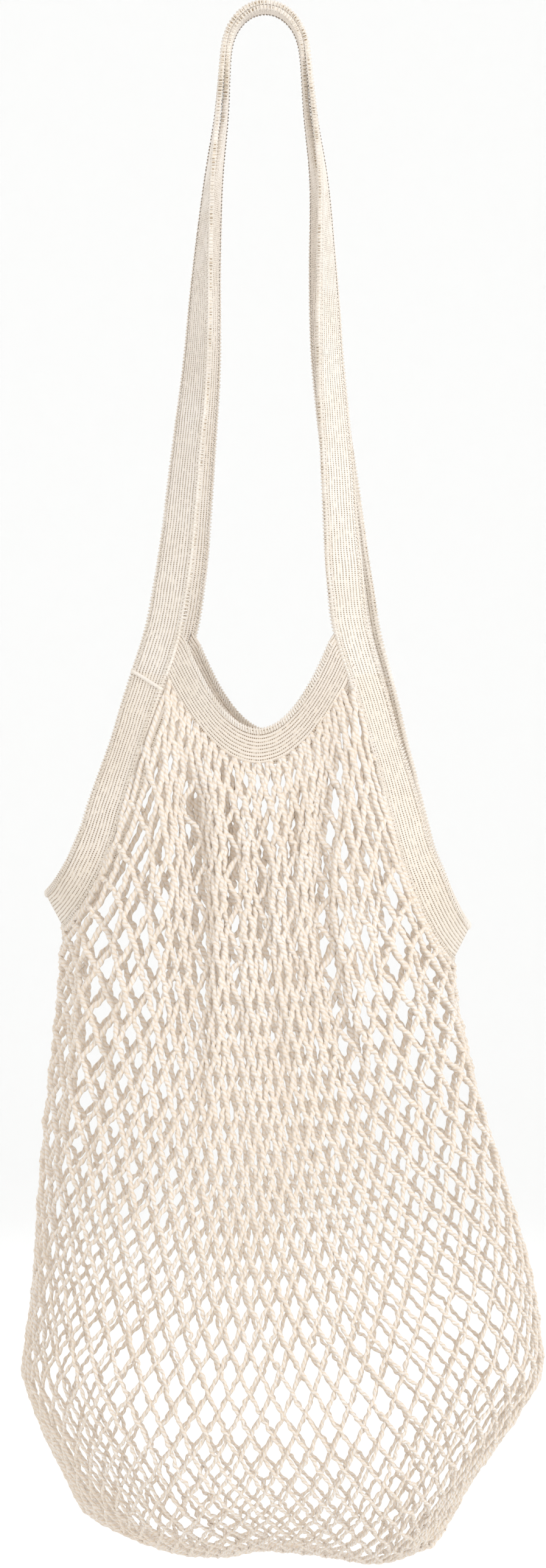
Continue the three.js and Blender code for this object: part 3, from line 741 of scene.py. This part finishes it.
def fold_depth(column, down):
    """How far the gathered net folds inwards under the neck and the armholes."""
    fade = smoothstep(down, *FOLDS_BEGIN) * (1 - smoothstep(down, *FOLDS_END))
    sway = RIPPLE_SWAY * np.sin(down * 14)
    depth = RIPPLE * (1 - np.cos(TURN * column / RIPPLE_COLUMNS + sway))
    for at, reach, spread in FOLDS:
        away = (column - at + COLUMNS / 2) % COLUMNS - COLUMNS / 2
        depth = depth + reach * np.exp(-((away / spread) ** 2))
    return fade * depth


def net_form():
    """A tree that finds the nearest point of the net's form, gathered folds included."""
    across, down = 320, 120
    column = (np.arange(across) * COLUMNS / across)[None, :]
    rows = (np.linspace(0, 1, down) ** 1.15)[:, None]
    points = net_point(column, rows)
    along = np.roll(points, -1, 1) - np.roll(points, 1, 1)
    normal = unit(np.cross(np.gradient(points, axis=0), along))
    points = points - normal * fold_depth(column, rows)[..., None]
    index = np.arange(across * down).reshape(down, across)
    a, b = index[:-1], index[1:]
    quads = np.stack([a, b, np.roll(b, -1, 1), np.roll(a, -1, 1)], -1).reshape(-1, 4)
    return BVHTree.FromPolygons(points.reshape(-1, 3).tolist(), quads.tolist())


def edge_columns():
    """Place along the net's edge of each cell of the top row."""
    corners = [0, ARMHOLE_COLUMNS, COLUMNS / 2 - ARMHOLE_COLUMNS, COLUMNS / 2]
    corners += [COLUMNS - c for c in corners[2::-1]]
    armhole_cells = (CELLS // 2 - NECK_CELLS) // 2
    counts = [armhole_cells, NECK_CELLS, armhole_cells] * 2
    places = []
    for start, end, count in zip(corners, corners[1:], counts):
        fine = np.linspace(start, end, 400)
        along = lengths(edge_point(fine % COLUMNS))
        places.append(np.interp(np.arange(count) / count * along[-1], along, fine))
    return np.concatenate(places)


def pull(a, b, weight_a, weight_b, least, most, push=1.0):
    """Moves two sets of points so that their distances come between least and most."""
    way = b - a
    distance = np.maximum(np.linalg.norm(way, axis=-1, keepdims=True), 1e-6)
    short = np.where(distance < least, push * (distance - least), 0)
    wrong = np.where(distance > most, distance - most, short)
    move = way / distance * wrong / np.maximum(weight_a + weight_b, 1e-9)
    a += move * weight_a
    b -= move * weight_b


def relaxed_net(tree):
    """The lattice's knots, row by row, once its cords have their length and lie on the form."""
    top = edge_columns()
    rows = np.arange(HALF_ROWS + 1)
    cell = np.arange(CELLS)
    knots = np.zeros((HALF_ROWS + 1, CELLS, 3))
    wrapped = np.concatenate([top, top[:1] + COLUMNS])
    for row in rows:
        column = np.interp(cell + 0.5 * (row % 2), np.arange(CELLS + 1), wrapped)
        knots[row] = net_point(column, row / HALF_ROWS)
    weight = np.ones((HALF_ROWS + 1, CELLS, 1))
    weight[0] = 0
    even, odd = slice(0, HALF_ROWS, 2), slice(1, HALF_ROWS, 2)
    after_even, after_odd = slice(1, HALF_ROWS + 1, 2), slice(2, HALF_ROWS + 1, 2)
    mirror = (-cell) % CELLS
    pitch = lerp(DRAWN_PITCH, LEAST_PITCH, smoothstep(rows, THINNING[0], DRAWN_ROWS))[:, None, None]

    def link(upper, lower, shift):
        a, b = knots[upper].copy(), np.roll(knots[lower], -shift, 1)
        wa, wb = weight[upper], np.roll(weight[lower], -shift, 1)
        pull(a, b, wa, wb, SEGMENT, SEGMENT, PUSH)
        knots[upper] = a
        knots[lower] = np.roll(b, shift, 1)

    def beside(first):
        a, b = knots[:, first::2].copy(), np.roll(knots, -1, 1)[:, first::2].copy()
        wa, wb = weight[:, first::2], np.roll(weight, -1, 1)[:, first::2]
        pull(a, b, wa, wb, pitch, math.inf)
        knots[:, first::2] = a
        shifted = np.roll(knots, -1, 1)
        shifted[:, first::2] = b
        knots[:] = np.roll(shifted, 1, 1)

    def above(first):
        upper = np.arange(first, HALF_ROWS - 1, 4)
        a, b = knots[upper], knots[upper + 2]
        pull(a, b, weight[upper], weight[upper + 2], LEAST_HEIGHT, math.inf)
        knots[upper], knots[upper + 2] = a, b

    def lay_down():
        for row in knots[1:]:
            for k in range(CELLS):
                row[k] = tree.find_nearest(Vector(row[k]))[0]

    half = CELLS // 2
    level = rows[:, None]
    drawn = smoothstep(level, 0, 4) * (1 - smoothstep(level, DRAWN_ROWS / 2, DRAWN_ROWS))
    for turn in range(ROUNDS):
        knots[1:, :, 2] -= lerp(SINK, LAST_SINK, max(0, 2 * turn / ROUNDS - 1))
        knots[:, :, 0] -= DRIFT * drawn * np.clip((knots[:, :, 0] - DRIFT_TO) / DRIFT_REACH, -1, 1)
        link(even, after_even, 0)
        link(even, after_even, -1)
        link(odd, after_odd, 0)
        link(odd, after_odd, 1)
        beside(0)
        beside(1)
        for first in range(4):
            above(first)
        last = knots[-1]
        last[:] = (last + last[mirror]) / 2
        last[:, 1] = 0
        last[1:half] += SEAM_EVENING * ((last[: half - 1] + last[2 : half + 1]) / 2 - last[1:half])
        last[half + 1 :] = last[half - 1 : 0 : -1]
        if turn % FITTED_EACH == FITTED_EACH - 1:
            lay_down()

    # The stretched upper cords come out even
    evened = smoothstep(level, 0, 2) * (1 - smoothstep(level, 0.6 * DRAWN_ROWS, 1.3 * DRAWN_ROWS))
    for turn in range(EVENING_ROUNDS):
        mean = np.zeros_like(knots)
        for row in rows[1:-1]:
            shift = -1 if row % 2 else 1
            for other in (knots[row - 1], knots[row + 1]):
                mean[row] += (other + np.roll(other, shift, 0)) / 4
        inner = slice(1, HALF_ROWS)
        knots[inner] += 0.5 * evened[inner, :, None] * (mean[inner] - knots[inner])
        if turn % FITTED_EACH == FITTED_EACH - 1:
            lay_down()
    return knots


def form_normals(tree, points):
    """Outward normals of the form at points on it."""
    flat = points.reshape(-1, 3)
    normals = np.array([tree.find_nearest(Vector(p))[1] for p in flat])
    inside = [10, 0, BELLY_LEVEL]
    if (normals * (flat - inside)).sum() < 0:
        normals = -normals
    return normals.reshape(points.shape)


def cord_paths(knots, normals, family):
    """Knots that a family's cords run through: (cords, rows, 3). Families lean right (1) or left (-1)."""
    rows = np.arange(HALF_ROWS + 1)
    start = np.arange(CELLS)[:, None]
    shift = rows // 2 if family > 0 else -((rows + 1) // 2)
    cell = (start + shift) % CELLS
    path, out = knots[rows, cell], normals[rows, cell]
    over = np.where((rows + (0 if family > 0 else 1)) % 2 == 0, CROSSING, -CROSSING)
    return path + out * over[:, None], out


def smooth_cords(path, out, steps):
    """Smooth curves through the knots, so many steps to a segment, with the surface's normal."""
    before = np.concatenate([2 * path[:, :1] - path[:, 1:2], path[:, :-1]], 1)
    after = np.concatenate([path[:, 1:], 2 * path[:, -1:] - path[:, -2:-1]], 1)
    slope = (after - before) / 2
    t = (np.arange(steps) / steps)[:, None]
    p0, p1 = path[:, :-1, None], path[:, 1:, None]
    m0, m1 = slope[:, :-1, None], slope[:, 1:, None]
    curve = (
        (2 * t**3 - 3 * t**2 + 1) * p0 + (t**3 - 2 * t**2 + t) * m0
        + (3 * t**2 - 2 * t**3) * p1 + (t**3 - t**2) * m1
    )
    normal = lerp(out[:, :-1, None], out[:, 1:, None], t)
    count = len(path)
    curve = np.concatenate([curve.reshape(count, -1, 3), path[:, -1:]], 1)
    normal = np.concatenate([normal.reshape(count, -1, 3), out[:, -1:]], 1)
    return curve, unit(normal)


def wandering(count, length, reach, spacing):
    """Small smooth moves, the same each run: (count, length)."""
    knots = chance.normal(0, reach, (count, length // spacing + 3))
    places = np.arange(length) / spacing
    k = places.astype(int)
    t = places - k
    t = t * t * (3 - 2 * t)
    return knots[:, k] * (1 - t) + knots[:, k + 1] * t


tree = net_form()
knots = relaxed_net(tree)
normals = form_normals(tree, knots)
lattice = knots - normals * CORD_RADIUS
along_rows = np.arange(HALF_ROWS * STEPS + 1) / STEPS
thickness = lerp(DRAWN_RADIUS, CORD_RADIUS, smoothstep(along_rows, *THINNING))[None]
top_place = edge_columns()


def under_bands():
    """Ends of the cords at the net's edge, moved on a little so that the bands cover them."""
    away = np.zeros((CELLS, 3))
    half, arm = COLUMNS / 2, ARMHOLE_COLUMNS
    for low, high in ((-arm, arm), (arm, half - arm), (half - arm, half + arm), (half + arm, COLUMNS - arm)):
        column = np.where(top_place > high, top_place - COLUMNS, top_place) if low < 0 else top_place
        inside = (column >= low - 1e-6) & (column <= high + 1e-6)
        if inside.any():
            _, _, normal, out = edge_frame(column[inside], low, high)
            away[inside] = out * TUCKED_UNDER - normal * TUCKED_IN
    return away


lattice[0] += under_bands()
curves = []
for family in (1, -1):
    path, out = cord_paths(lattice, normals, family)
    curve, normal = smooth_cords(path, out, STEPS)
    sideways = unit(np.cross(unit(np.gradient(curve, axis=1)), normal))
    curve = curve + sideways * wandering(len(curve), curve.shape[1], *SIDEWAYS)[..., None]
    curve = curve + normal * wandering(len(curve), curve.shape[1], *OUTWARDS)[..., None]
    curves.append((curve, normal))
curve = np.concatenate([c for c, _ in curves])
normal = np.concatenate([n for _, n in curves])
phases = chance.uniform(0, TURN, len(curve))
rings, along = sweep(curve, normal, thickness, SIDES, LOBES, TWIST, phases)
cuts = [0, 8, 16, 24, 32, HALF_ROWS]
for name, first, last in zip(("top", "upper", "middle", "belly", "bottom"), cuts, cuts[1:]):
    part = slice(first * STEPS, last * STEPS + 1)
    tube_piece(f"net_{name}", rings[:, part], along[:, part] / STITCH, net_cotton, ["net_body"])

half = CELLS // 2
seam_path = at_places(lattice[-1][: half + 1], np.arange(half + 1), np.linspace(0, half, 260))[None]
normal = np.broadcast_to([0.0, 1.0, 0.0], seam_path.shape)
rings, along = sweep(seam_path, normal, SEAM_RADIUS, 8, SEAM_LOBES, TWIST)
tube_piece("net_seam", rings, along / STITCH, net_cotton)

# Bands

# Distance from one line of stitches to the next across a band, and from stitch to stitch along it
WALE = 1.95
COURSE = 1.12
# A band's section from its edge inwards: share of the half width, share of the half thickness
EDGE_PROFILE = np.array([(1.0, 0.25), (0.985, 0.75), (0.93, 1.12), (0.84, 1.12)])
# Ribs: out to which share of the half width; their middle level and height as shares of the half thickness
RIB_REACH = 0.76
RIB_LEVEL = 0.95
RIB_HEIGHT = 0.1
# Two slight waves in a band's edges: the way along it for each radian
BAND_WAVES = (7.3, 11.0)
# A stitch's turn round the edge: place inwards, share of the band's half thickness, share of its slant
STITCH_TURN = ((1.2, 1.1, -0.4), (-0.25, 0.6, 0), (-0.25, -0.6, 0), (1.2, -1.1, 0.4))
STITCH_SLANT = 0.75
STITCH_LIFT = 0.18
STITCH_UNEVEN = 0.12
# Distances from station to station, along the closed strip and along a neck band
STRIP_STEP = 2.5
NECK_STEP = 2.0
# How far the neck bands' ends run on under the strip, and how far inwards
NECK_TUCK = (7.0, 2.4)
# The joint of the strip: how far it lies aslant, its radius, how far it and its stitches stand up, and how
# far its ends sink in
JOINT_SLANT = 7.5
JOINT_RADIUS = 1.0
JOINT_LIFT = 0.25
JOINT_STITCHES = 0.12
JOINT_SUNK = 1.2


def band_profile(width):
    """Places across a band, per station, and heights: raised edges, and a rib to each wale between them."""
    step = WALE / 2
    count = int(RIB_REACH * width.min() / step)
    ribs = np.arange(-count, count + 1)
    edge, edge_height = EDGE_PROFILE.T
    same = np.ones((len(width), 1))
    face = np.concatenate([-edge * same, ribs * step / width, edge[::-1] * same], 1)
    height = np.concatenate([edge_height, RIB_LEVEL - RIB_HEIGHT * (-1.0) ** ribs, edge_height[::-1]])
    return np.concatenate([face, face[:, ::-1]], 1), np.concatenate([-height, height[::-1]])


def band_piece(name, stations, material, replaced, along0=0.0, wave=0.35):
    """A knitted band: its profile swept along its stations, with slightly wavy edges."""
    inner, outer, normal = stations[:, 0], stations[:, 1], stations[:, 2]
    middle, half = (inner + outer) / 2, (outer - inner) / 2
    along = along0 + lengths(middle)
    width = np.linalg.norm(half, axis=1, keepdims=True)
    first, second = BAND_WAVES
    waves = np.stack([np.sin(along / first), np.sin(along / second + 1)], 1).mean(1)[:, None]
    ripple = 1 + wave * waves / width
    across, height = band_profile(width)
    points = middle[:, None] + (half * ripple)[:, None] * across[..., None]
    points = points + normal[:, None] * (height * BAND_THICKNESS / 2)[:, None]
    quads = rings_joined(np.arange(across.size).reshape(across.shape))
    wales = across * width / WALE + 0.5
    nxt = np.roll(wales, -1, 1)
    courses = (along / COURSE)[:, None] + 0 * wales
    uv = np.stack([
        np.stack([wales[:-1], courses[:-1]], -1), np.stack([nxt[:-1], courses[:-1]], -1),
        np.stack([nxt[1:], courses[1:]], -1), np.stack([wales[1:], courses[1:]], -1),
    ], -2).reshape(-1, 2)
    return make_mesh(name, points.reshape(-1, 3), quads, uv, material, replaced)


def overlock(name, stations, edges, pitch=1.9, reach=2.7, radius=0.42):
    """Stitches over a band's edges: each a thread from one face round the edge to the other."""
    along = lengths(middles(stations))
    places = np.arange(pitch / 2, along[-1], pitch)
    places = places + chance.normal(0, STITCH_UNEVEN, len(places))
    profile = ((reach, 1.06, -1), *STITCH_TURN, (reach, -1.06, 1))
    face = BAND_THICKNESS / 2 + STITCH_LIFT
    threads, outs = [], []
    for edge, other in edges:
        rim = at_places(stations[:, edge], along, places)
        in_way = unit(at_places(stations[:, other] - stations[:, edge], along, places))
        out = unit(at_places(stations[:, 2], along, places))
        ahead = unit(np.cross(in_way, out)) * STITCH_SLANT
        threads.append(np.stack([rim + in_way * d + out * face * h + ahead * s for d, h, s in profile], 1))
        outs.append(np.stack([out * h - in_way * 0.6 for _, h, _ in profile], 1))
    rings, along = sweep(np.concatenate(threads), unit(np.concatenate(outs)), radius, 4)
    return tube_piece(name, rings, along, edge_thread)


loop, starts = knitted_strip(STRIP_STEP)
loop = np.concatenate([loop, loop[:1]])
strip_parts = (
    ("handle_front", "handle_knit", handle_cotton),
    ("side_band_right", "side_knit", side_cotton),
    ("handle_back", "handle_knit", handle_cotton),
    ("side_band_left", "side_knit", side_cotton),
)
for (name, slot, material), first, last in zip(strip_parts, starts, starts[1:]):
    part = loop[first : last + 1]
    band_piece(f"{name}_knit", part, material, [name], first * STRIP_STEP)
    overlock(f"{name}_overlock", part, ((0, 1), (1, 0)))


def joint_ridge(name, closed):
    """The sewn joint across the strip where it closes: a low ridge of stitches that lies aslant."""
    share = np.linspace(-0.01, 1.01, 40)
    station = (JOINT_SLANT * (share - 1) / STRIP_STEP) % (len(closed) - 1)
    low = station.astype(int)
    between = lerp(closed[low], closed[low + 1], (station - low)[:, None, None])
    inner, outer, normal = np.moveaxis(between, 1, 0)
    end = smoothstep(np.abs(share - 0.5), 0.44, 0.51)
    lift = BAND_THICKNESS / 2 + JOINT_LIFT + JOINT_STITCHES * np.sin(share * 40) - JOINT_SUNK * end
    path = inner + (outer - inner) * share[:, None] + normal * lift[:, None]
    rings, along = sweep(path[None], normal[None], JOINT_RADIUS, 8, 0.12, 3.0, flat=0.7)
    return tube_piece(name, rings, along / 2.0, edge_thread)


joint_ridge("strip_joint", loop)


def tucked(stations, reach, depth):
    """A neck band with its ends carried on under the strip, so far along and so far inwards."""
    first, last = stations[:1].copy(), stations[-1:].copy()
    for end, near in ((first, stations[2]), (last, stations[-3])):
        way = unit(end[0, :2].mean(0) - near[:2].mean(0))
        end[0, :2] += way * reach - end[0, 2] * depth
    return np.concatenate([first, stations, last])


for name, from_column in (("neck_band_front", 0), ("neck_band_back", COLUMNS / 2)):
    band = neck_band_stations(from_column + ARMHOLE_COLUMNS, 120)
    band = tucked(softened(resampled(band, NECK_STEP), 1.5, False), *NECK_TUCK)
    band_piece(f"{name}_knit", band, neck_cotton, [name], wave=0.2)
    overlock(f"{name}_overlock", band[2:-2], ((1, 0),), 1.7, 3.2, 0.45)

# Stage, light and camera

FLOOR = -0.98
stage_paint = bpy.data.materials.new("stage_paint")
stage_paint.use_nodes = True
paint = stage_paint.node_tree.nodes["Principled BSDF"]
paint.inputs["Base Color"].default_value = (0.97, 0.97, 0.965, 1)
paint.inputs["Roughness"].default_value = 0.9


def studio_floor():
    """A round pale floor that rises in a smooth curve to a pale wall all round."""
    turns = 72
    flat, bend = 4.2, 1.6
    bends = np.linspace(0.1, math.pi / 2, 12)
    profile = [(0.02, 0.0), (1.5, 0.0), (flat, 0.0)]
    profile += [(flat + bend * math.sin(a), bend * (1 - math.cos(a))) for a in bends]
    profile += [(5.8, 3.2), (5.8, 4.6)]
    radius, height = np.array(profile).T
    angle = np.arange(turns) * TURN / turns
    points = np.stack([
        radius[:, None] * np.cos(angle), radius[:, None] * np.sin(angle), FLOOR + height[:, None] + 0 * angle
    ], -1)
    index = np.arange(points.shape[0] * turns).reshape(-1, turns)
    quads = [*rings_joined(index).tolist(), index[0][::-1].tolist()]
    mesh = bpy.data.meshes.new("studio_floor")
    mesh.from_pydata(points.reshape(-1, 3).tolist(), [], quads)
    mesh.polygons.foreach_set("use_smooth", [True] * len(mesh.polygons))
    mesh.materials.append(stage_paint)
    floor = bpy.data.objects.new("studio_floor", mesh)
    bpy.context.collection.objects.link(floor)


def area_light(name, place, aim, size, power, tint=(1, 1, 1)):
    data = bpy.data.lights.new(name, "AREA")
    data.shape, data.size, data.energy, data.color = "DISK", size, power, tint
    light = bpy.data.objects.new(name, data)
    light.location = place
    light.rotation_euler = (Vector(aim) - Vector(place)).to_track_quat("-Z", "Y").to_euler()
    bpy.context.collection.objects.link(light)


studio_floor()
area_light("key_light", (2.1, -2.3, 1.1), (0, 0, -0.45), 1.1, 34, (0.94, 0.975, 1.0))
area_light("top_light", (1.0, -1.1, 0.7), (0.05, 0, -0.1), 0.6, 2.4, (0.93, 0.97, 1.0))
area_light("fill_light", (-2.2, -2.0, 0.2), (0, 0, -0.45), 1.8, 4, (1.0, 0.94, 0.87))
area_light("back_light", (-0.8, 2.6, 1.5), (0, 0, -0.4), 1.6, 18)
world = bpy.data.worlds.new("studio_air")
world.use_nodes = True
world.node_tree.nodes["Background"].inputs[0].default_value = (1, 1, 1, 1)
world.node_tree.nodes["Background"].inputs[1].default_value = 0.99
bpy.context.scene.world = world
bpy.context.scene.view_settings.view_transform = "Standard"

FRAME_HEIGHT = 0.8501
VIEW_X = 0.0041
VIEW_Z = -0.4194
DISTANCE = 3.0
SENSOR_HEIGHT = 24
camera_data = bpy.data.cameras.new("camera")
camera_data.sensor_fit = "VERTICAL"
camera_data.sensor_height = SENSOR_HEIGHT
camera_data.sensor_width = 60
camera_data.lens = SENSOR_HEIGHT * DISTANCE / FRAME_HEIGHT
camera_data.clip_end = 30
camera = bpy.data.objects.new("camera", camera_data)
camera.location = (VIEW_X, -DISTANCE, VIEW_Z)
camera.rotation_euler = (math.pi / 2, 0, 0)
bpy.context.collection.objects.link(camera)
bpy.context.scene.camera = camera
